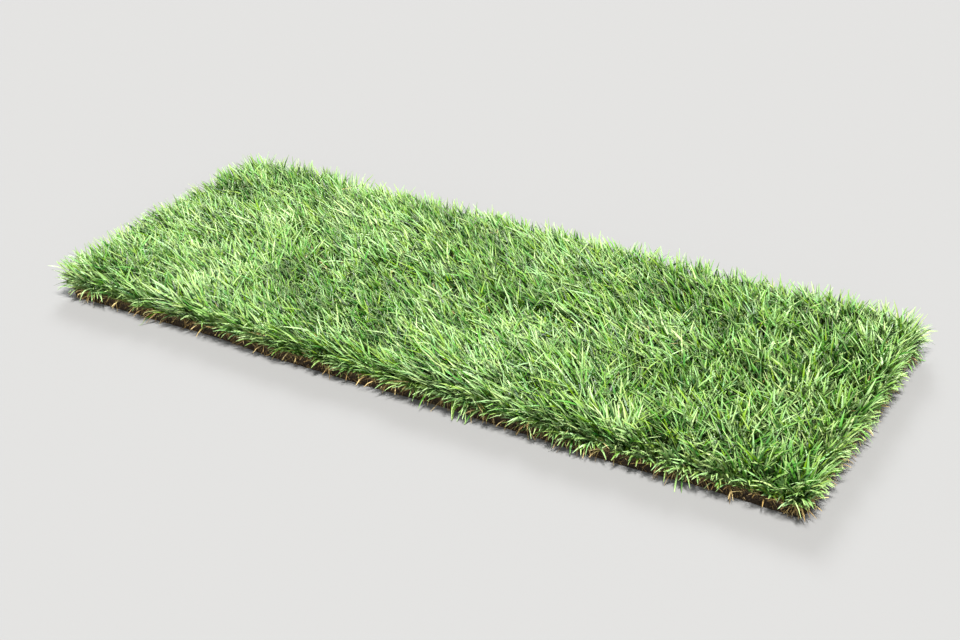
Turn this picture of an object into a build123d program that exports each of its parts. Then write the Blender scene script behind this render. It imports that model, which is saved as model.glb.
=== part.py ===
from build123d import *
from math import cos, exp, pi, sin
import os

# A strip of turf, cut 24 by 60 inches, as it lies once it has come off its roll: a mat of soil,
# roots and thatch with the grass standing on it. Millimetres, X along the strip, Z up.
# The origin is on the floor under the middle of the strip.

# The strip as cut
strip_length = 1524.0  # 60 in
strip_width = 610.0  # 24 in
mat_thickness = 22.0  # soil and roots, with a thin layer of thatch on top
corner_radius = 14.0  # corners, worn round in handling
shoulder_bevel = 5.0  # thatch worn off along the top of the cut
knife_bevel = 2.0  # left by the sod knife along the underside

# How far the cut edges wander from straight, and where in its wave each of them starts, in radians
side_wander = 5.0
side_wave_length = 560.0
front_phase = 0.4
back_phase = 2.1
end_wander = 3.0
end_wave_length = 410.0
left_phase = 2.9
right_phase = 1.2
ripple_share = 0.3  # share of the wander in a shorter wave on top of the long one
ripple_rate = 2.3  # its waves to each long one

# The grass above the mat
sward_height = 43.0  # general height of the leaf tips above the mat
overhang = 16.0  # reach of the leaves that lean out past the cut edges
sward_corner_radius = 46.0
under_slope = 13.0  # size of the slope below them, down to the mat
rim_drop = 28.0  # fall of the bent-over leaves along the edges, below the tallest tips
rim_reach = 38.0  # how far in from the edges that fall starts
near_end_rise = 8.0  # the leaves stand up at one end and lie over on the rest
near_end_reach = 260.0
swell_height = 3.5  # gentle highs and lows of the sward
swell_length = 330.0
swell_width = 240.0
tuft_height = 2.0  # single tufts on them
tuft_pitch = 160.0

# How finely the waves are drawn
points_per_wave = 6
rows_per_tuft = 3


def wander(place, amount, wave_length, phase):
    # Sideways wander of a cut at a place along it
    angle = 2 * pi * place / wave_length
    long_wave = (1 - ripple_share) * sin(angle + phase)
    return amount * (long_wave + ripple_share * sin(ripple_rate * angle - phase))


def stations(half_size, pitch):
    # Evenly spaced places from one end to the other, about a pitch apart
    count = round(2 * half_size / pitch)
    return [half_size * (2 * i / count - 1) for i in range(count + 1)]


def strip_outline(grow):
    # Draws the strip's four cuts as seen from above, all moved out by grow
    half_length = strip_length / 2 + grow
    half_width = strip_width / 2 + grow
    front, back, left, right = [], [], [], []
    for x in stations(half_length, side_wave_length / points_per_wave):
        front.append((x, wander(x, side_wander, side_wave_length, front_phase) - half_width))
        back.append((x, wander(x, side_wander, side_wave_length, back_phase) + half_width))
    for y in stations(half_width, end_wave_length / points_per_wave)[1:-1]:
        left.append((wander(y, end_wander, end_wave_length, left_phase) - half_length, y))
        right.append((wander(y, end_wander, end_wave_length, right_phase) + half_length, y))
    Spline(*front)
    Spline(front[-1], *right, back[-1])
    Spline(*back)
    Spline(front[0], *left, back[0])


def tips_height(x, y):
    # Height of the leaf tips above the mat
    rise = near_end_rise * exp(-(((strip_length / 2 - x) / near_end_reach) ** 2))
    swell = sin(2 * pi * x / swell_length) * cos(2 * pi * y / swell_width + x / swell_length)
    tufts = sin(2 * pi * (x + y) / tuft_pitch) * sin(2 * pi * (x - y) / tuft_pitch)
    return sward_height + rise + swell_height * swell + tuft_height * tufts


def tips_sheet():
    # Sheet through the leaf tips, lofted along the strip and a little larger than the sward
    spare = overhang + side_wander + end_wander
    rows = stations(strip_width / 2 + spare, tuft_pitch / rows_per_tuft)
    shares = [i / (len(rows) - 1) for i in range(len(rows))]
    lines = []
    for x in stations(strip_length / 2 + spare, tuft_pitch / rows_per_tuft):
        tips = [Vector(x, y, mat_thickness + tips_height(x, y)) for y in rows]
        lines.append(Wire([Edge.make_spline(tips, parameters=shares)]))
    return Shell.make_loft(lines)


# Soil, roots and thatch
with BuildPart() as root_mat:
    with BuildSketch():
        with BuildLine():
            strip_outline(0)
        make_face()
    extrude(amount=mat_thickness)
    fillet(root_mat.edges().filter_by(Axis.Z), corner_radius)
    chamfer(root_mat.faces().sort_by(Axis.Z)[-1].edges(), shoulder_bevel)
    chamfer(root_mat.faces().sort_by(Axis.Z)[0].edges(), knife_bevel)
root_mat.part.label = "root_mat"

# Grass standing on the mat and leaning out past it
with BuildPart() as grass:
    with BuildSketch(Plane.XY.offset(mat_thickness)):
        with BuildLine():
            strip_outline(overhang)
        make_face()
    extrude(amount=sward_height + near_end_rise + swell_height + tuft_height)
    fillet(grass.edges().filter_by(Axis.Z), sward_corner_radius)
    chamfer(grass.faces().sort_by(Axis.Z)[0].edges(), under_slope)
    top = grass.faces().sort_by(Axis.Z)[-1]
    chamfer(top.edges(), rim_reach, rim_drop, reference=top)
    split(bisect_by=tips_sheet(), keep=Keep.TOP)  # the sheet faces down
grass.part.label = "grass"

os.makedirs("parts", exist_ok=True)
export_step(root_mat.part, "parts/root_mat.step")
export_step(grass.part, "parts/grass.step")
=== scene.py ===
import math
import bpy
import numpy as np
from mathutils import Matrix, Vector, noise


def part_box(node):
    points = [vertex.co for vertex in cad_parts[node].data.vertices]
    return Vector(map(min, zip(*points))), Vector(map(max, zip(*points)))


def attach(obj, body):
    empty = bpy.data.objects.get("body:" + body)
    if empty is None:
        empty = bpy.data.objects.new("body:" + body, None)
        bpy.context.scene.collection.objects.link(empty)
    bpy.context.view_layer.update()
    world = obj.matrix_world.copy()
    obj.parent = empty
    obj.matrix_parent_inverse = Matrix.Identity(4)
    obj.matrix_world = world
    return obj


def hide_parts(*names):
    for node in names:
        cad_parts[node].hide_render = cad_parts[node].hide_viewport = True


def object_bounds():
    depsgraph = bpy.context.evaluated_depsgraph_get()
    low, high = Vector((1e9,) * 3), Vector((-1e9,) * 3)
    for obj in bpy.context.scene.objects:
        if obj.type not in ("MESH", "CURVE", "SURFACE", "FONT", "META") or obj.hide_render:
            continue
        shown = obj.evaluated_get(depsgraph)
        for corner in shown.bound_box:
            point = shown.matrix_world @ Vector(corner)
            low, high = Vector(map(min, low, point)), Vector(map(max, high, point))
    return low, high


# A strip of turf laid flat: a crumbly mat of soil and roots, thatch along its cut edges,
# and tens of thousands of single grass leaves standing on it. Metres, in the frame's own axes.

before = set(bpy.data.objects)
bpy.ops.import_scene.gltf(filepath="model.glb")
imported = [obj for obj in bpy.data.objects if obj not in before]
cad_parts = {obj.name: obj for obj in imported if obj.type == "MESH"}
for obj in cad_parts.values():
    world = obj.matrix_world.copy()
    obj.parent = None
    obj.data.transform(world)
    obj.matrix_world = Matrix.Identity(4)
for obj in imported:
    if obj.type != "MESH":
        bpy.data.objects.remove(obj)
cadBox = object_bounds()
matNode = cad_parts["root_mat"]
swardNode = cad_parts["grass"]
cadLow, cadHigh = np.array(cadBox[0]), np.array(cadBox[1])
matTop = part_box("root_mat")[1][2]
print("frame loaded, sides", np.round(cadHigh - cadLow, 3))


# Short ways to write node trees

class Sock:  # an output socket that can be used in a formula
    def __init__(self, sheet, socket):
        self.sheet, self.socket = sheet, socket

    def __add__(self, other): return self.sheet.math("ADD", self, other)
    def __radd__(self, other): return self.sheet.math("ADD", other, self)
    def __sub__(self, other): return self.sheet.math("SUBTRACT", self, other)
    def __rsub__(self, other): return self.sheet.math("SUBTRACT", other, self)
    def __mul__(self, other): return self.sheet.math("MULTIPLY", self, other)
    def __truediv__(self, other): return self.sheet.math("DIVIDE", self, other)
    def __rtruediv__(self, other): return self.sheet.math("DIVIDE", other, self)
    def __pow__(self, other): return self.sheet.math("POWER", self, other)


class NodeSheet:  # adds nodes to one tree and wires them up
    def __init__(self, tree):
        self.tree = tree
        self.column = 0

    def put(self, socket, value):
        if isinstance(value, Sock):
            self.tree.links.new(value.socket, socket)
        elif value is not None:
            socket.default_value = value

    def node(self, kind, inputs=None, **settings):
        made = self.tree.nodes.new(kind)
        made.location = (self.column * 40, -(self.column % 12) * 160)
        self.column += 1
        for name, value in settings.items():
            setattr(made, name, value)
        for key, value in (inputs or {}).items():
            self.put(made.inputs[key], value)
        return made

    def out(self, made, key=0):
        return Sock(self, made.outputs[key])

    def math(self, operation, a, b=None, clamp=False):
        made = self.node("ShaderNodeMath", operation=operation, use_clamp=clamp)
        for socket, value in zip(made.inputs, (a, b)):
            self.put(socket, value)
        return self.out(made)

    def vector(self, operation, a, b=None, scale=None):
        made = self.node("ShaderNodeVectorMath", operation=operation)
        self.put(made.inputs[0], a)
        self.put(made.inputs[1], b)
        if scale is not None:
            self.put(made.inputs["Scale"], scale)
        return self.out(made)

    def move(self, start, way, distance):
        return self.vector("ADD", start, self.vector("SCALE", way, scale=distance))

    def join(self, x, y, z=0.0):
        return self.out(self.node("ShaderNodeCombineXYZ", {0: x, 1: y, 2: z}))

    def wayAt(self, angle):  # the level direction at an angle
        return self.join(self.math("COSINE", angle), self.math("SINE", angle))

    def split(self, vector):
        made = self.node("ShaderNodeSeparateXYZ", {0: vector})
        return [self.out(made, i) for i in range(3)]

    def ramp(self, value, low, high, start=0.0, stop=1.0, kind="SMOOTHSTEP"):
        made = self.node("ShaderNodeMapRange", {0: value, 1: low, 2: high, 3: start, 4: stop},
                         interpolation_type=kind)
        return self.out(made)

    def noise(self, vector, scale, detail=2.0, roughness=0.5, output="Fac"):
        made = self.node("ShaderNodeTexNoise", {"Vector": vector, "Scale": scale, "Detail": detail,
                                                "Roughness": roughness})
        return self.out(made, output)

    def blend(self, share, first, second):  # mix of two colours
        made = self.node("ShaderNodeMix", data_type="RGBA")
        self.put(made.inputs[0], share)
        self.put(made.inputs[6], first)
        self.put(made.inputs[7], second)
        return self.out(made, 2)

    def colours(self, value, stops):  # colour ramp
        made = self.node("ShaderNodeValToRGB", {0: value})
        made.color_ramp.elements[0].position = stops[0][0]
        made.color_ramp.elements[1].position = stops[-1][0]
        for place, colour in stops[1:-1]:
            made.color_ramp.elements.new(place)
        for element, (place, colour) in zip(made.color_ramp.elements, stops):
            element.position = place
            element.color = (*colour, 1.0)
        return self.out(made)


def newTree(name, values, others):  # with an input for each value, and for the others
    tree = bpy.data.node_groups.new(name, "GeometryNodeTree")
    tree.interface.new_socket("Geometry", in_out="OUTPUT", socket_type="NodeSocketGeometry")
    for label, kind in {"Geometry": "Geometry", "finish": "Material", **others}.items():
        tree.interface.new_socket(label, in_out="INPUT", socket_type="NodeSocket" + kind)
    for label, usual in values.items():
        kind = "Int" if isinstance(usual, int) else "Float"
        socket = tree.interface.new_socket(label, in_out="INPUT", socket_type="NodeSocket" + kind)
        socket.default_value = usual
    sheet = NodeSheet(tree)
    given = sheet.node("NodeGroupInput")
    return tree, sheet, given, {label: sheet.out(given, label) for label in values}


def finishTree(sheet, given, geometry):
    final = sheet.node("GeometryNodeSetMaterial", {
        "Geometry": geometry, "Material": sheet.out(given, "finish")})
    sheet.node("NodeGroupOutput", {0: sheet.out(final)})


# Materials

cellsAcross = 16  # the leaf colours lie in a square of cells, one row for each paleness
uvName = "OFBake"


def newMaterial(name, roughness, specular):
    material = bpy.data.materials.new(name)
    material.use_nodes = True
    sheet = NodeSheet(material.node_tree)
    shader = material.node_tree.nodes["Principled BSDF"]
    shader.inputs["Roughness"].default_value = roughness
    shader.inputs["Specular IOR Level"].default_value = specular
    return material, sheet, shader


def addBump(sheet, shader, strength, distance, height):
    bump = sheet.node("ShaderNodeBump", {"Strength": strength, "Distance": distance, "Height": height})
    sheet.put(shader.inputs["Normal"], sheet.out(bump))


def ribbonCell(sheet):  # a leaf's or straw's own cell, and the place on it, across and along
    uv = sheet.out(sheet.node("ShaderNodeUVMap", uv_map=uvName))
    u, v, unused = sheet.split(uv)
    u, v = u * cellsAcross, v * cellsAcross
    return sheet.math("FLOOR", u), sheet.math("FLOOR", v), sheet.math("FRACT", u), sheet.math("FRACT", v)


def cellChance(sheet, column, row, seed):  # a random number that is the same all over one cell
    made = sheet.node("ShaderNodeTexWhiteNoise", {"Vector": sheet.join(column, row, seed)})
    return sheet.out(made, "Value")


leafLook = {
    # The two darkest colours are partly the leaves' own darker tones, partly painted shade deep in the
    # sward
    "darkestShade": (0.005, 0.026, 0.001),
    "deep": (0.022, 0.096, 0.003),
    "fresh": (0.106, 0.262, 0.016),
    # Pale: partly the leaves' own paler tone, partly painted sheen of leaves lying over
    "pale": (0.326, 0.456, 0.205),
    # Root: painted shade, near black, where the sward shades the leaves' feet
    "root": (0.005, 0.016, 0.001),
    "tip": (0.370, 0.475, 0.210),
    "hueLow": 0.468,  # a leaf's hue is turned to between these two, and 0.5 leaves it alone
    "hueHigh": 0.536,
    "roughness": 0.29,
    "specular": 0.27,
    "veins": 7.0,  # fine lines across a leaf
    "veinLight": 0.07,
    "ribLight": 0.22,
    "edgeShade": 0.16,
    "bump": 0.35,
    "bumpDepth": 0.0004,
}


def leafMaterial(name, look):
    material, sheet, shader = newMaterial(name, look["roughness"], look["specular"])
    column, row, across, along = ribbonCell(sheet)
    tone, hue = cellChance(sheet, column, row, 0.5), cellChance(sheet, column, row, 7.5)
    pale = row / (cellsAcross - 1.0)
    body = sheet.colours(pale * 0.90 + tone * 0.18 - 0.05, [
        (0.0, look["darkestShade"]), (0.16, look["deep"]), (0.44, look["fresh"]), (1.0, look["pale"])])
    yellower = sheet.out(sheet.node("ShaderNodeHueSaturation", {
        "Hue": sheet.ramp(hue, 0.0, 1.0, look["hueLow"], look["hueHigh"], "LINEAR"),
        "Saturation": sheet.ramp(hue, 0.0, 1.0, 1.08, 0.92, "LINEAR"), "Color": body}))
    # Painted shade: each leaf darkens towards the root colour over most of its length
    shadedFromRoot = sheet.blend(sheet.ramp(along, 0.06, 0.84), look["root"] + (1.0,), yellower)
    toTip = sheet.blend(sheet.ramp(along, 0.66, 1.0, 0.0, 0.35), shadedFromRoot, look["tip"] + (1.0,))
    # Veins, a lighter rib down the middle and darker edges
    middle = sheet.math("ABSOLUTE", across - 0.5)
    vein = sheet.math("SINE", across * (2 * math.pi * look["veins"])) * look["veinLight"]
    rib = sheet.ramp(middle, 0.0, 0.10, look["ribLight"], 0.0)
    edge = sheet.ramp(middle, 0.30, 0.50, 0.0, -look["edgeShade"])
    mottle = sheet.noise(sheet.join(across * 3.0, along * 9.0, column), 1.0) * 0.3
    light = vein + rib + edge + mottle + 0.86
    sheet.put(shader.inputs["Base Color"], sheet.vector("SCALE", toTip, scale=light))
    addBump(sheet, shader, look["bump"], look["bumpDepth"], vein * 3.0 - rib)
    return material


strawLook = {
    "dark": (0.090, 0.050, 0.018),
    "middle": (0.330, 0.215, 0.070),
    "light": (0.680, 0.540, 0.250),
    "green": (0.250, 0.330, 0.050),
    "greenFrom": 0.8,  # cells with a tone above this are still green near the root
    "roughness": 0.62,
    "specular": 0.35,
    "bump": 0.4,
    "bumpDepth": 0.0004,
}


def strawMaterial(name, look):
    material, sheet, shader = newMaterial(name, look["roughness"], look["specular"])
    column, row, across, along = ribbonCell(sheet)
    tone = cellChance(sheet, column, row, 0.5)
    dry = row / (cellsAcross - 1.0)
    body = sheet.colours(dry * 0.75 + tone * 0.25, [
        (0.0, look["dark"]), (0.5, look["middle"]), (1.0, look["light"])])
    stillGreen = sheet.math("GREATER_THAN", tone, look["greenFrom"]) * sheet.ramp(along, 0.7, 0.1, 0.0, 0.6)
    greenish = sheet.blend(stillGreen, body, look["green"] + (1.0,))
    streak = sheet.noise(sheet.join(across * 6.0, along * 3.0, column), 1.0, 3.0) * 0.9 + 0.55
    sheet.put(shader.inputs["Base Color"], sheet.vector("SCALE", greenish, scale=streak))
    addBump(sheet, shader, look["bump"], look["bumpDepth"], streak)
    return material


soilLook = {
    # Soil colours darker than damp soil's own: partly painted shade, as under overhanging grass
    "wetShaded": (0.005, 0.003, 0.002),
    "dampShaded": (0.016, 0.010, 0.006),
    "dry": (0.048, 0.030, 0.017),
    "fibre": (0.300, 0.210, 0.090),
    "lumpScale": 140.0,  # waves to the metre
    "grainScale": 900.0,
    "stainScale": 22.0,
    "clodScale": 260.0,
    "fibreWays": (((60.0, 520.0, 260.0), 0.0), ((420.0, 90.0, 300.0), 3.7), ((260.0, 300.0, 60.0), 9.1)),
    "fibreWidth": 0.035,
    "thatchStart": matTop - 0.009,  # heights between which fibres take over from soil
    "thatchFull": matTop + 0.001,
    "roughness": 0.92,
    "specular": 0.25,
    "bump": 0.9,
    "bumpDepth": 0.0016,
}


def soilMaterial(name, look):
    material, sheet, shader = newMaterial(name, look["roughness"], look["specular"])
    place = sheet.out(sheet.node("ShaderNodeTexCoord"), "Object")
    z = sheet.split(place)[2]
    lumps = sheet.noise(place, look["lumpScale"], 4.0, 0.65)
    grains = sheet.noise(place, look["grainScale"], 3.0, 0.6)
    stains = sheet.noise(place, look["stainScale"], 3.0, 0.55)
    clods = sheet.node("ShaderNodeTexVoronoi", {"Vector": place, "Scale": look["clodScale"]})
    body = sheet.colours(lumps * 0.55 + grains * 0.25 + stains * 0.35 - 0.06, [
        (0.30, look["wetShaded"]), (0.50, look["dampShaded"]), (0.72, look["dry"])])
    # Fibres run every way, so they are drawn as thin ridges of stretched noise
    ridges = []
    for stretch, offset in look["fibreWays"]:
        stretched = sheet.vector("MULTIPLY", place, stretch)
        moved = sheet.vector("ADD", stretched, (offset, offset, offset))
        fromRidge = sheet.math("ABSOLUTE", sheet.noise(moved, 1.0, 1.5) - 0.5)
        ridges.append(sheet.ramp(fromRidge, 0.0, look["fibreWidth"], 1.0, 0.0))
    fibres = sheet.math("MAXIMUM", sheet.math("MAXIMUM", ridges[0], ridges[1]), ridges[2])
    thatch = sheet.ramp(z + (lumps - 0.5) * 0.010, look["thatchStart"], look["thatchFull"])
    share = sheet.math("MULTIPLY", fibres, thatch * 0.75 + 0.14, clamp=True)
    sheet.put(shader.inputs["Base Color"], sheet.blend(share, body, look["fibre"] + (1.0,)))
    height = lumps * 0.6 + grains * 0.25 + fibres * 0.25 - sheet.out(clods, "Distance") * 0.3
    addBump(sheet, shader, look["bump"], look["bumpDepth"], height)
    return material


leafGreen = leafMaterial("leafGreen", leafLook)
strawDry = strawMaterial("strawDry", strawLook)
soilDampShaded = soilMaterial("soilDampShaded", soilLook)
print("materials made")


# The cut line of the mat, read from the frame: an even loop of places with their outward directions

cutSpacing = 0.0026  # between places along the cut


def cutLoop(node, spacing):
    points = np.array([vertex.co[:] for vertex in node.data.vertices])
    side = points[(points[:, 2] > 0.3 * matTop) & (points[:, 2] < 0.9 * matTop)]
    level = side[np.abs(side[:, 2] - side[:, 2].max()) < 0.0004][:, :2]  # the top line of the upright cut
    level = np.unique(np.round(level, 5), axis=0)
    # Stretched to a square before sorting, so that the angle grows evenly round a long strip
    angle = np.arctan2(level[:, 1] / np.ptp(level[:, 1]), level[:, 0] / np.ptp(level[:, 0]))
    level = level[np.argsort(angle)]
    closed = np.vstack([level, level[:1]])
    steps = np.linalg.norm(np.diff(closed, axis=0), axis=1)
    travelled = np.concatenate([[0.0], np.cumsum(steps)])
    wanted = np.linspace(0.0, travelled[-1], int(travelled[-1] / spacing), endpoint=False)
    loop = np.stack([np.interp(wanted, travelled, closed[:, i]) for i in range(2)], axis=1)
    ahead = np.roll(loop, -3, axis=0) - np.roll(loop, 3, axis=0)
    outward = np.stack([ahead[:, 1], -ahead[:, 0]], axis=1)
    return loop, outward / np.linalg.norm(outward, axis=1)[:, None]


cutLine, cutOutward = cutLoop(matNode, cutSpacing)
halfSize = np.abs(cutLine).max(axis=0)
print("cut line has", len(cutLine), "places, half sizes", np.round(halfSize, 3))


def pulledIn(loop, inset):  # the loop drawn in towards the middle, each way by the same distance
    return loop * (1.0 - inset / halfSize)


def meshObject(name, points, faces, material=None):
    mesh = bpy.data.meshes.new(name)
    mesh.from_pydata([tuple(p) for p in points], [], faces)
    mesh.polygons.foreach_set("use_smooth", [True] * len(mesh.polygons))
    mesh.update()
    thing = bpy.data.objects.new(name, mesh)
    bpy.context.scene.collection.objects.link(thing)
    if material:
        mesh.materials.append(material)
    return thing


def ringFaces(count, lower, upper):  # quads between two rings of the same count
    nextOne = [(i + 1) % count for i in range(count)]
    return [(lower + i, lower + nextOne[i], upper + nextOne[i], upper + i) for i in range(count)]


# The mat: its cut sides crumble in and out, its underside is flat

matLook = {
    "rows": 10,  # rows of places up the cut side
    "crumble": 0.0024,  # how far the lumps stand in and out
    "lumpSize": 0.009,
    "furthest": 0.004,  # most that a lump stands out past the cut
    "undercut": 0.0020,  # the soil is lost a little below the thatch
    "undercutPitch": 0.045,
    "knifeBevel": 0.0015,  # along the underside
    "shoulder": 0.004,  # along the top
    "topRings": (0.003, 0.007, 0.013, 0.024, 0.045),  # distances in from the cut
    "topRough": 0.0016,
    "topLumpSize": 0.007,
}


def buildMat(look):
    count = len(cutLine)
    rings = []
    for row in range(look["rows"] + 1):
        share = row / look["rows"]
        height = matTop * share
        ring = np.zeros((count, 3))
        for i in range(count):
            x, y = cutLine[i]
            at = Vector((x, y, height)) / look["lumpSize"]
            lump = noise.fractal(at, 0.9, 2.1, 4)
            coarse = noise.noise(Vector((x, y, 0.3 * height)) / look["undercutPitch"])
            fade = min(1.0, share * 3.0)
            under = math.sin(math.pi * min(1.0, share / 0.8)) * look["undercut"] * (0.6 + coarse)
            corner = look["shoulder"] * max(0.0, (share - 0.8) / 0.2) ** 2 + look["knifeBevel"] * (1 - fade)
            out = look["crumble"] * lump * (0.35 + 0.65 * fade) - under - corner + 0.001 * coarse
            ring[i, :2] = cutLine[i] + cutOutward[i] * min(out, look["furthest"])
            ring[i, 2] = height
        rings.append(ring)
    for inset in look["topRings"]:
        ring = np.zeros((count, 3))
        ring[:, :2] = pulledIn(cutLine, look["shoulder"] + inset)
        for i in range(count):
            at = Vector((ring[i, 0], ring[i, 1], 0.0)) / look["topLumpSize"]
            ring[i, 2] = matTop + look["topRough"] * noise.fractal(at, 1.0, 2.0, 3)
        rings.append(ring)
    points = np.vstack(rings)
    faces = []
    for k in range(len(rings) - 1):
        faces += ringFaces(count, k * count, (k + 1) * count)
    faces.append(tuple(reversed(range(count))))
    faces.append(tuple(range((len(rings) - 1) * count, len(rings) * count)))
    return meshObject("turfMat", points, faces, soilDampShaded)


turfMat = buildMat(matLook)
print("mat made,", len(turfMat.data.polygons), "faces")


# Beds that the leaves and straws are rooted on, thrown away at the end

def buildBed(name, insets, heights):
    count = len(cutLine)
    points = []
    for inset, height in zip(insets, heights):
        flat = pulledIn(cutLine, inset)
        points.append(np.column_stack([flat, np.full(count, height)]))
    faces = []
    for k in range(len(insets) - 1):
        faces += ringFaces(count, k * count, (k + 1) * count)
    bed = meshObject(name, np.vstack(points), faces)
    outward = np.zeros((len(bed.data.vertices), 3), dtype=np.float32)
    edgeIn = np.zeros(len(bed.data.vertices), dtype=np.float32)
    for k, inset in enumerate(insets):
        outward[k * count:(k + 1) * count, :2] = cutOutward
        edgeIn[k * count:(k + 1) * count] = inset
    bed.data.attributes.new("outward", "FLOAT_VECTOR", "POINT").data.foreach_set("vector", outward.ravel())
    bed.data.attributes.new("edgeIn", "FLOAT", "POINT").data.foreach_set("value", edgeIn)
    return bed


bedLook = {  # distances in from the cut, and the heights there
    "bedTop": ((0.002, 0.012, 0.025, 0.045, 0.080, 0.140, 0.220, 0.295), (matTop,) * 8),
    "bedRim": ((0.001, 0.006, 0.012), (matTop - 0.0015, matTop, matTop)),
    "bedCut": ((0.001, 0.0005, 0.001, 0.003), (0.003, 0.010, matTop - 0.004, matTop - 0.001)),
    "bedLip": ((0.0005, 0.001, 0.004, 0.009), (matTop - 0.006, matTop - 0.003, matTop, matTop + 0.001)),
}
beds = {name: buildBed(name, insets, heights) for name, (insets, heights) in bedLook.items()}


# Leaves and straws: one tree for all of them. A leaf is a narrow folded ribbon, bent as an arc.

fieldUsual = {  # what a field can say of its leaves, and what holds where it doesn't
    "density": 1000.0,  # on a square metre of its bed
    "seed": 1,
    "heightLow": 0.7,  # its top, as a share of the sward's own height there
    "heightHigh": 1.05,
    "lengthFixed": 0.0,  # above 0 it takes the place of the height
    "lengthMost": 0.13,
    "leanLow": 0.3,  # radians from upright at the root
    "leanHigh": 0.8,
    "bendLow": 0.4,  # and how many more at the tip
    "bendHigh": 1.0,
    "combing": 1.0,  # how strongly it heads the combed way
    "outwards": 0.0,  # out over a near cut
    "scatter": 0.5,  # its own way
    "swirl": 0.5,  # and with those around it
    "nearScatter": 1.0,  # more of its own way at the near end
    "nearUpright": 0.5,  # how much of the lean is lost there
    "widthLow": 0.0035,
    "widthHigh": 0.0060,
    "fold": 0.35,
    "twist": 0.8,
    "paleLow": 0.0,  # row of its colour cell, from 0 for the darkest, painted shade, to 1 for the palest, partly painted sheen
    "paleHigh": 1.0,
    "sheenPatchShare": 1.0,  # how far the pale patches, painted sheen, decide the row
    "spareX": 0.014,  # how far it may reach out past the CAD box
    "spareY": 0.011,
    "tipNarrow": 1.0,
    "floorGap": 0.0006,
    "showFrom": 0.0,  # how much of the cell's foot, painted dark as shade, is left out
    "tuftSize": 0.042,
    "tuftSplay": 0.62,
    "clump": 0.0,  # how bare the thin places are
}

swardLook = {  # scales are in waves to the metre
    "thinScale": 15.0,  # thin and thick places
    "nearStart": 0.26,  # along X, where the laid-over grass begins to stand up
    "nearFull": 0.82,
    "nearBlur": 0.70,
    "blurScale": 6.0,
    "patchScale": 4.3,  # patches where the leaves lie over more, painted paler there as sheen
    "smallPatchScale": 13.0,
    "nearPatches": 0.26,  # how much of them is lost at the near end
    "patchLean": 0.50,  # how much further over they lie there
    "swirlScale": 9.0,
    "combedWay": (-1.0, 0.10, 0.0),
    "nearComb": 0.85,  # how much of the combing is lost at the near end
    "edgeReach": 0.05,  # how far in from a cut its leaves are drawn outwards
    "splayFar": 0.45,  # how much the tufts spread, and how much more at the near end
    "splayNear": 0.8,
    "tuftRise": 0.45,  # how unlike the tufts are in height
    "lowest": 0.015,  # least height that a leaf reaches for
    "standProud": 0.010,  # most that one stands above the CAD box
    "lengthShares": (0.40, 1.30),  # of a fixed length
    "sheenPatches": 0.72,  # what each of these adds to how pale a leaf is
    "paleNear": 0.15,
    "paleBase": -0.04,
    "paleSpread": 0.42,
    "paleTufts": 0.28,
    "nearWidth": 0.20,  # wider leaves at the near end
}


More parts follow.
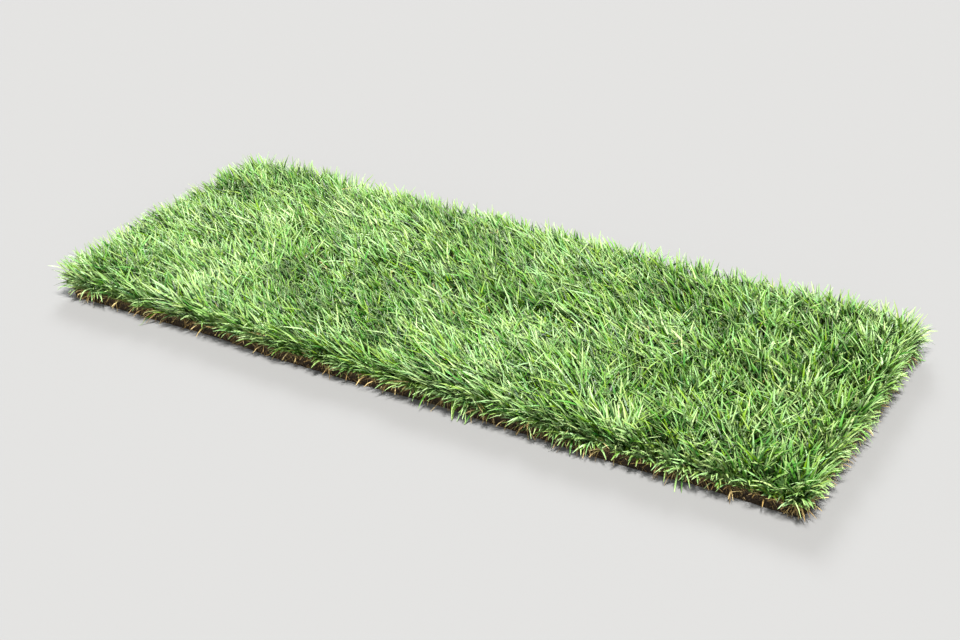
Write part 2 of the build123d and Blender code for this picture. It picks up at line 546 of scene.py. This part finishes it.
def fieldTree(name, segments, look):
    tree, sheet, given, value = newTree(name, fieldUsual, {"sward": "Object"})

    def chance(low, high, offset):  # a random number for each leaf
        made = sheet.node("FunctionNodeRandomValue", {2: low, 3: high, "Seed": value["seed"] + offset},
                          data_type="FLOAT")
        return sheet.out(made, 1)

    def read(label, kind="FLOAT_VECTOR"):
        made = sheet.node("GeometryNodeInputNamedAttribute", {"Name": label}, data_type=kind)
        return sheet.out(made, "Attribute")

    def store(geometry, label, what, kind="FLOAT_VECTOR", domain="POINT"):
        made = sheet.node("GeometryNodeStoreNamedAttribute", {"Geometry": geometry, "Name": label},
                          data_type=kind, domain=domain)
        sheet.put(made.inputs["Value"], what)
        return sheet.out(made, "Geometry")

    place = sheet.out(sheet.node("GeometryNodeInputPosition"))
    thinned = sheet.ramp(sheet.noise(place, look["thinScale"], 4.0, 0.6), 0.42, 0.60)
    spread = sheet.node("GeometryNodeDistributePointsOnFaces", {
        "Mesh": sheet.out(given, "Geometry"), "Seed": value["seed"],
        "Density": value["density"] * (1.0 - value["clump"] * (1.0 - thinned))}, distribute_method="RANDOM")
    points = sheet.out(spread, "Points")

    # Where the leaf stands, and in which tuft
    x, y, z = sheet.split(place)
    blurred = x + (sheet.noise(place, look["blurScale"]) - 0.5) * look["nearBlur"]
    nearEnd = sheet.ramp(blurred, look["nearStart"], look["nearFull"])
    large = sheet.noise(place, look["patchScale"], 2.0, 0.55)
    small = sheet.noise(sheet.vector("ADD", place, (5.0, 3.0, 0.0)), look["smallPatchScale"], 2.0)
    patches = sheet.ramp(large, 0.40, 0.58) * 0.50 + sheet.ramp(small, 0.42, 0.58) * 0.50
    patches = patches * (1.0 - nearEnd * look["nearPatches"])
    tuftScale = 1.0 / value["tuftSize"]
    tuft = sheet.node("ShaderNodeTexVoronoi", {"Vector": place, "Scale": tuftScale},
                      voronoi_dimensions="2D")
    fromTuft = sheet.vector("SUBTRACT", place, sheet.out(tuft, "Position"))
    fromTuft = sheet.vector("MULTIPLY", sheet.vector("SCALE", fromTuft, scale=tuftScale), (1.0, 1.0, 0.0))
    offCentre = sheet.math("MINIMUM", sheet.out(tuft, "Distance") * 1.4, 1.0)
    tuftTurn, tuftLift, tuftTone = sheet.split(sheet.out(tuft, "Color"))

    # Which way it heads: combed towards -X, more at random near the +X end, outwards at the cuts
    swirl = sheet.noise(place, look["swirlScale"], 1.0, 0.5, "Color")
    swirl = sheet.vector("SUBTRACT", swirl, (0.5, 0.5, 0.5))
    comb = value["combing"] * (1.0 - nearEnd * look["nearComb"])
    heading = sheet.vector("SCALE", look["combedWay"], scale=comb)
    edgePull = sheet.ramp(read("edgeIn", "FLOAT"), 0.0, look["edgeReach"], 1.0, 0.0) * value["outwards"]
    splay = value["tuftSplay"] * (look["splayFar"] + nearEnd * look["splayNear"])
    strayed = value["scatter"] * (1.25 - patches * 0.5) + nearEnd * value["nearScatter"]
    for way, weight in (
            (read("outward"), edgePull),
            (swirl, value["swirl"] * 4.0),
            (fromTuft, splay * 2.4),
            (sheet.wayAt(tuftTurn * (2 * math.pi)), splay * 0.7),
            (sheet.wayAt(chance(0.0, 2 * math.pi, 11)), strayed)):
        heading = sheet.move(heading, way, weight)
    heading = sheet.vector("NORMALIZE", sheet.vector("MULTIPLY", heading, (1.0, 1.0, 0.0)))
    headX, headY, unused = sheet.split(heading)

    # How it bends, and how long it is, so that its top comes to the sward's own surface
    lean = chance(value["leanLow"], value["leanHigh"], 21) * (1.0 - nearEnd * value["nearUpright"])
    lean = lean * (1.0 - splay * 0.5 + splay * offCentre) * (0.70 + patches * look["patchLean"])
    bend = chance(value["bendLow"], value["bendHigh"], 22)
    sward = sheet.node("GeometryNodeObjectInfo", {0: sheet.out(given, "sward")})
    ray = sheet.node("GeometryNodeRaycast", {
        "Target Geometry": sheet.out(sward, "Geometry"), "Ray Length": 0.3,
        "Source Position": sheet.vector("ADD", place, (0.0, 0.0, 0.008)), "Ray Direction": (0.0, 0.0, 1.0)})
    above = sheet.math("MAXIMUM", sheet.split(sheet.out(ray, "Hit Position"))[2] - z, look["lowest"])
    tuftRise = 1.0 + (tuftLift - 0.5) * splay * look["tuftRise"]
    aim = above * chance(value["heightLow"], value["heightHigh"], 23) * tuftRise
    topAngle = sheet.math("MINIMUM", lean + bend, math.pi / 2)
    rise = (sheet.math("SINE", topAngle) - sheet.math("SINE", lean)) / bend
    rise = sheet.math("MAXIMUM", rise, 0.12)
    useFixed = sheet.math("GREATER_THAN", value["lengthFixed"], 0.0)
    fixed = value["lengthFixed"] * chance(*look["lengthShares"], 24)
    length = sheet.math("MINIMUM", aim / rise, value["lengthMost"]) * (1.0 - useFixed) + fixed * useFixed
    length = sheet.math("MINIMUM", length, (float(cadHigh[2]) + look["standProud"] - z) / rise)

    # It is drawn in where it would reach too far out past the CAD box
    reach = length / bend * (sheet.math("COSINE", lean) - sheet.math("COSINE", lean + bend))
    spareShare = chance(0.2, 1.0, 25)
    room = []
    for side, head, most, spare in ((x, headX, cadHigh[0], value["spareX"]),
                                    (y, headY, cadHigh[1], value["spareY"])):
        headSize = sheet.math("MAXIMUM", sheet.math("ABSOLUTE", head), 0.05)
        room.append((spare * spareShare + float(most) - side * sheet.math("SIGN", head)) / headSize)
    room = sheet.math("MINIMUM", room[0], room[1])
    squeeze = room / sheet.math("MAXIMUM", sheet.math("ABSOLUTE", reach), 0.001)
    squeeze = sheet.math("MINIMUM", squeeze, 1.0)

    # Its colour cell: the row says how pale it is, from painted shade through its own tone to painted sheen
    palePlace = patches * look["sheenPatches"] + nearEnd * look["paleNear"] + look["paleBase"]
    paleSpread = chance(-look["paleSpread"], look["paleSpread"], 26) * (0.58 + patches * 0.80)
    paleShare = palePlace * value["sheenPatchShare"] + paleSpread
    paleShare = paleShare + chance(0.0, 1.0, 27) * (1.0 - value["sheenPatchShare"])
    paleShare = paleShare + chance(0.0, 1.0, 32) ** 5.0 * (0.45 + nearEnd * 0.5)  # a few very pale ones, partly painted highlight
    paleShare = paleShare - chance(0.0, 1.0, 33) ** 4.0 * patches * 0.95  # and dark ones in the patches, painted shade between the pale leaves
    paleShare = paleShare + (tuftTone - 0.5) * look["paleTufts"]
    pale = value["paleLow"] + (value["paleHigh"] - value["paleLow"]) * paleShare
    pale = sheet.math("MINIMUM", sheet.math("MAXIMUM", pale, 0.0), 0.999)
    cellRow = sheet.math("FLOOR", pale * cellsAcross)
    cellColumn = sheet.math("FLOOR", chance(0.0, 0.999, 28) * cellsAcross)

    width = chance(value["widthLow"], value["widthHigh"], 29) * (1.0 + nearEnd * look["nearWidth"])
    twist = chance(-1.0, 1.0, 30) * value["twist"]
    carried = {
        "leafRoot": place,
        "leafHeading": heading,
        "leafArc": sheet.join(lean, bend, length),
        "leafForm": sheet.join(squeeze, width, twist),
        "leafCell": sheet.join(cellColumn, cellRow, chance(-1.0, 1.0, 31)),
    }
    for label, what in carried.items():
        points = store(points, label, what)

    # The flat leaf, a small grid from -1 to 1 across and 0 to 1 along
    grid = sheet.node("GeometryNodeMeshGrid", {
        "Size X": 2.0, "Size Y": 1.0, "Vertices X": 3, "Vertices Y": segments + 1})
    gridPlace = sheet.vector("ADD", place, (0.0, 0.5, 0.0))
    flat = store(sheet.out(grid, "Mesh"), "leafFlat", gridPlace)
    laid = sheet.node("GeometryNodeInstanceOnPoints", {"Points": points, "Instance": flat})
    leaves = sheet.out(sheet.node("GeometryNodeRealizeInstances", {0: sheet.out(laid)}))

    # Each point of the ribbon goes to its place on the leaf's arc
    across, along, unused = sheet.split(read("leafFlat"))
    lean, bend, length = sheet.split(read("leafArc"))
    squeeze, width, twist = sheet.split(read("leafForm"))
    cellColumn, cellRow, roll = sheet.split(read("leafCell"))
    heading = read("leafHeading")
    headX, headY, unused = sheet.split(heading)
    angle, radius = lean + bend * along, length / bend
    sine, cosine = sheet.math("SINE", angle), sheet.math("COSINE", angle)
    out = radius * (sheet.math("COSINE", lean) - cosine) * squeeze
    up = radius * (sine - sheet.math("SINE", lean))
    narrowed = 1.0 - along ** 2.6 * value["tipNarrow"] * 0.86
    half = width * 0.5 * (sheet.math("MINIMUM", along * 1.6 + 0.55, 1.0) * narrowed)
    side = sheet.join(headY, headX * -1.0)
    normal = sheet.join(headX * cosine * -1.0, headY * cosine * -1.0, sine)
    rolled = roll * 0.5 + twist * along
    sideShare, normalShare = sheet.math("COSINE", rolled), sheet.math("SINE", rolled)
    sideWay = sheet.move(sheet.vector("SCALE", side, scale=sideShare), normal, normalShare)
    normalWay = sheet.vector("SUBTRACT", sheet.vector("SCALE", normal, scale=sideShare),
                             sheet.vector("SCALE", side, scale=normalShare))
    spot = sheet.move(read("leafRoot"), heading, out)
    spot = sheet.vector("ADD", spot, sheet.join(0.0, 0.0, up))
    spot = sheet.move(spot, sideWay, across * half)
    spot = sheet.move(spot, normalWay, sheet.math("ABSOLUTE", across) * value["fold"] * half)
    spotX, spotY, spotZ = sheet.split(spot)
    spot = sheet.join(spotX, spotY, sheet.math("MAXIMUM", spotZ, value["floorGap"]))
    moved = sheet.out(sheet.node("GeometryNodeSetPosition", {"Geometry": leaves, "Position": spot}))

    shown = value["showFrom"] + along * (1.0 - value["showFrom"])
    inU = (cellColumn + 0.5 + across * 0.46) / cellsAcross
    inV = (cellRow + 0.04 + shown * 0.92) / cellsAcross
    mapped = store(moved, uvName, sheet.join(inU, inV), "FLOAT2", "CORNER")
    for label in (*carried, "leafFlat", "outward", "edgeIn"):
        mapped = sheet.out(sheet.node("GeometryNodeRemoveAttribute", {"Geometry": mapped, "Name": label}))
    finishTree(sheet, given, sheet.out(sheet.node("GeometryNodeSetShadeSmooth", {"Geometry": mapped})))
    return tree


trees = {segments: fieldTree("leafField" + str(segments), segments, swardLook) for segments in (2, 3, 4, 5)}


def growField(name, bed, tree, finish, values):
    carrier = bpy.data.objects.new(name, bed.data)
    bpy.context.scene.collection.objects.link(carrier)
    modifier = carrier.modifiers.new("field", "NODES")
    modifier.node_group = tree
    ids = {item.name: item.identifier for item in tree.interface.items_tree if item.in_out == "INPUT"}
    if "sward" in ids:  # the crumbs don't need it
        modifier[ids["sward"]] = swardNode
    modifier[ids["finish"]] = finish
    for label, value in values.items():
        modifier[ids[label]] = value
    bpy.context.view_layer.update()
    mesh = bpy.data.meshes.new_from_object(carrier.evaluated_get(bpy.context.evaluated_depsgraph_get()))
    mesh.name = name
    carrier.modifiers.clear()
    carrier.data = mesh
    carrier.data.materials.clear()
    carrier.data.materials.append(finish)
    triangles = sum(len(polygon.vertices) - 2 for polygon in mesh.polygons)
    print(name, "made,", triangles, "triangles")
    return carrier


crumbLook = {
    "density": 52000.0,  # on a square metre of the cut side
    "small": 0.0007,
    "large": 0.0030,
    "uneven": 0.003,  # how far a crumb's points are pushed about
    "unevenScale": 420.0,
    "gatherScale": 40.0,
    "floorGap": 0.0002,
}


def crumbTree(look):
    tree, sheet, given, value = newTree("crumbs", look, {})
    place = sheet.out(sheet.node("GeometryNodeInputPosition"))
    gathered = sheet.ramp(sheet.noise(place, value["gatherScale"], 3.0), 0.40, 0.62)
    spread = sheet.node("GeometryNodeDistributePointsOnFaces", {
        "Mesh": sheet.out(given, "Geometry"), "Density": value["density"] * gathered, "Seed": 4},
        distribute_method="RANDOM")
    size = sheet.node("FunctionNodeRandomValue", {2: 0.0, 3: 1.0, "Seed": 8}, data_type="FLOAT")
    share = sheet.out(size, 1) ** 3.0
    scale = value["small"] * (1.0 - share) + value["large"] * share
    turn = sheet.node("FunctionNodeRandomValue", {0: (0.0, 0.0, 0.0), 1: (6.28, 6.28, 6.28), "Seed": 9},
                      data_type="FLOAT_VECTOR")
    ball = sheet.node("GeometryNodeMeshIcoSphere", {"Radius": 1.0, "Subdivisions": 1})
    laid = sheet.node("GeometryNodeInstanceOnPoints", {
        "Points": sheet.out(spread), "Instance": sheet.out(ball), "Rotation": sheet.out(turn),
        "Scale": scale})
    lumps = sheet.out(sheet.node("GeometryNodeRealizeInstances", {0: sheet.out(laid)}))
    shift = sheet.noise(place, value["unevenScale"], 1.0, 0.5, "Color")
    shift = sheet.vector("SUBTRACT", shift, (0.5, 0.5, 0.5))
    moved = sheet.node("GeometryNodeSetPosition", {
        "Geometry": lumps, "Offset": sheet.vector("SCALE", shift, scale=value["uneven"])})
    x, y, z = sheet.split(place)
    above = sheet.join(x, y, sheet.math("MAXIMUM", z, value["floorGap"]))
    lifted = sheet.node("GeometryNodeSetPosition", {"Geometry": sheet.out(moved), "Position": above})
    finishTree(sheet, given, sheet.out(lifted))
    return tree


fields = {  # bed, runs along a leaf, finish, and what differs from fieldUsual
    # The under-layer takes only the darkest rows: painted shade between the leaves above
    "leavesUnder": ("bedTop", 2, leafGreen, {
        "density": 21000.0, "seed": 10, "heightLow": 0.60, "heightHigh": 1.00, "leanLow": 0.1,
        "leanHigh": 0.9, "bendLow": 0.3, "bendHigh": 0.9, "combing": 0.3, "scatter": 1.2,
        "paleHigh": 0.10, "widthLow": 0.0034, "widthHigh": 0.0050}),
    "leavesCombed": ("bedTop", 4, leafGreen, {
        "density": 9200.0, "seed": 200, "heightLow": 0.96, "heightHigh": 1.32, "leanLow": 0.25,
        "leanHigh": 0.65, "bendLow": 0.20, "bendHigh": 0.65, "swirl": 0.30, "outwards": 0.35}),
    "leavesLaidOver": ("bedTop", 4, leafGreen, {
        "density": 8400.0, "seed": 300, "heightLow": 0.92, "heightHigh": 1.28, "leanLow": 0.35,
        "bendLow": 0.25, "bendHigh": 0.80, "scatter": 0.80, "swirl": 0.36, "outwards": 0.45,
        "paleLow": 0.1}),
    "leavesUpright": ("bedTop", 4, leafGreen, {
        "density": 6200.0, "seed": 400, "heightLow": 0.95, "heightHigh": 1.45, "lengthMost": 0.085,
        "leanLow": 0.15, "leanHigh": 0.70, "bendHigh": 1.2, "combing": 0.6, "scatter": 0.75,
        "swirl": 0.4, "outwards": 0.7, "tuftSplay": 0.9, "paleLow": 0.05, "paleHigh": 0.95,
        "widthLow": 0.0026, "widthHigh": 0.0046}),
    # Skirt and rim leaves take paler rows and show less of their shaded foot: painted light on the cut
    # edge, which sits in shade
    "leavesSkirt": ("bedRim", 4, leafGreen, {
        "density": 98000.0, "seed": 450, "lengthFixed": 0.062, "leanLow": 0.10, "leanHigh": 0.85,
        "bendLow": 0.25, "bendHigh": 1.3, "combing": 0.75, "scatter": 0.9, "outwards": 0.75,
        "swirl": 0.35, "nearScatter": 0.6, "nearUpright": 0.1, "paleLow": 0.40, "sheenPatchShare": 0.7,
        "clump": 0.35, "showFrom": 0.60, "widthLow": 0.0030, "widthHigh": 0.0052}),
    "leavesRim": ("bedRim", 4, leafGreen, {
        "density": 80000.0, "seed": 500, "lengthFixed": 0.050, "leanLow": 0.35, "leanHigh": 1.05,
        "bendHigh": 1.3, "combing": 0.6, "scatter": 1.1, "outwards": 1.0, "nearScatter": 0.6,
        "nearUpright": 0.1, "paleLow": 0.30, "sheenPatchShare": 0.6, "clump": 0.6, "showFrom": 0.56,
        "widthLow": 0.0028, "widthHigh": 0.0048}),
    "leavesHanging": ("bedRim", 5, leafGreen, {
        "density": 15000.0, "seed": 550, "lengthFixed": 0.070, "leanLow": 0.4, "leanHigh": 1.2,
        "bendLow": 0.8, "bendHigh": 2.0, "combing": 0.5, "scatter": 1.1, "outwards": 1.0,
        "nearUpright": 0.0, "nearScatter": 0.5, "paleHigh": 0.9, "sheenPatchShare": 0.6, "clump": 0.9,
        "showFrom": 0.30, "widthLow": 0.0026, "widthHigh": 0.0046}),
    "strawSward": ("bedTop", 3, strawDry, {
        "density": 2600.0, "seed": 580, "heightLow": 0.35, "heightHigh": 1.0, "lengthMost": 0.08,
        "leanLow": 0.2, "leanHigh": 1.2, "bendLow": 0.3, "bendHigh": 1.2, "combing": 0.5,
        "scatter": 1.0, "outwards": 0.5, "nearUpright": 0.0, "paleLow": 0.3, "sheenPatchShare": 0.0,
        "clump": 0.8, "widthLow": 0.0014, "widthHigh": 0.0028}),
    "strawLip": ("bedLip", 3, strawDry, {
        "density": 80000.0, "seed": 600, "lengthFixed": 0.026, "leanLow": 0.8, "leanHigh": 2.0,
        "bendLow": 0.3, "bendHigh": 1.4, "combing": 0.2, "scatter": 1.7, "outwards": 0.8,
        "nearScatter": 0.0, "nearUpright": 0.0, "paleLow": 0.1, "sheenPatchShare": 0.0, "clump": 0.7,
        "tuftSplay": 0.2, "tipNarrow": 0.7, "twist": 1.6, "widthLow": 0.0007, "widthHigh": 0.0020}),
    "rootHairs": ("bedCut", 2, strawDry, {
        "density": 60000.0, "seed": 700, "lengthFixed": 0.011, "leanLow": 1.4, "leanHigh": 2.4,
        "bendLow": 0.2, "bendHigh": 0.9, "combing": 0.0, "scatter": 1.0, "outwards": 0.9,
        "swirl": 0.2, "nearScatter": 0.0, "nearUpright": 0.0, "paleHigh": 0.6, "sheenPatchShare": 0.0,
        "spareX": 0.0, "spareY": 0.0, "clump": 0.6, "tuftSplay": 0.0, "widthLow": 0.0003,
        "widthHigh": 0.0008}),
}

grown = {name: growField(name, beds[bed], trees[segments], finish, values)
         for name, (bed, segments, finish, values) in fields.items()}
grown["soilCrumbs"] = growField("soilCrumbs", beds["bedCut"], crumbTree(crumbLook), soilDampShaded, crumbLook)
for bed in beds.values():
    bpy.data.objects.remove(bed)


# What moves with what, and what stands for which solid

for piece in [turfMat, *grown.values()]:
    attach(piece, "root")
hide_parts("root_mat")
for name, piece in grown.items():
    if name.startswith("leaves"):
        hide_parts("grass")
print("pieces tied to the frame")


# Floor, lights and camera

stageLook = {
    "floorColour": (0.197, 0.197, 0.198),
    "floorSize": 30.0,
    "skyStrength": 0.20,
    "horizonStrength": 0.785,  # the backdrop is as pale as the floor where they meet
    "skyStart": 0.16,  # heights of view, as sines, between which it turns into sky
    "skyFull": 0.50,
    "lights": (  # name, the way it comes from, strength, spread in degrees, colour
        ("key", (0.22, -0.32, 1.3), 9.2, 12.0, (1.0, 0.985, 0.95)),
        ("sheen", (-0.8, 1.3, 1.1), 3.8, 20.0, (0.96, 0.99, 1.0)),
        ("fill", (0.6, -1.2, 0.7), 1.4, 60.0, (0.95, 0.98, 1.0)),
    ),
    "viewTransform": "Standard",
    "cameraPlace": (1.353, -2.349, 1.49),
    "aim": (0.01, -0.02, 0.02),
    "lens": 60.0,
}


def pointAt(thing, target):
    way = Vector(target) - thing.location
    thing.rotation_euler = way.to_track_quat("-Z", "Y").to_euler()


def addLight(name, fromWay, strength, spread, colour):
    lamp = bpy.data.lights.new(name, "SUN")
    lamp.angle, lamp.energy, lamp.color = math.radians(spread), strength, colour
    thing = bpy.data.objects.new(name, lamp)
    thing.location = Vector(fromWay) * 4.0
    bpy.context.scene.collection.objects.link(thing)
    pointAt(thing, (0, 0, 0))


def buildStage(look):
    half = look["floorSize"] / 2
    floor = meshObject("floor", [(-half, -half, 0), (half, -half, 0), (half, half, 0), (-half, half, 0)],
                       [(0, 1, 2, 3)])
    material, sheet, shader = newMaterial("floorPlain", 1.0, 0.0)
    shader.inputs["Base Color"].default_value = (*look["floorColour"], 1.0)
    floor.data.materials.append(material)
    world = bpy.data.worlds.new("studio")
    world.use_nodes = True
    sky = NodeSheet(world.node_tree)
    height = sky.split(sky.out(sky.node("ShaderNodeTexCoord"), "Generated"))[2]
    background = world.node_tree.nodes["Background"]
    background.inputs["Color"].default_value = (1.0, 1.0, 1.0, 1.0)
    strength = sky.ramp(height, look["skyStart"], look["skyFull"],
                        look["horizonStrength"], look["skyStrength"])
    sky.put(background.inputs["Strength"], strength)
    bpy.context.scene.world = world
    for light in look["lights"]:
        addLight(*light)
    bpy.context.scene.view_settings.view_transform = look["viewTransform"]
    camera = bpy.data.objects.new("camera", bpy.data.cameras.new("camera"))
    camera.data.lens = look["lens"]
    camera.location = look["cameraPlace"]
    bpy.context.scene.collection.objects.link(camera)
    pointAt(camera, look["aim"])
    bpy.context.scene.camera = camera


buildStage(stageLook)
print("stage made")
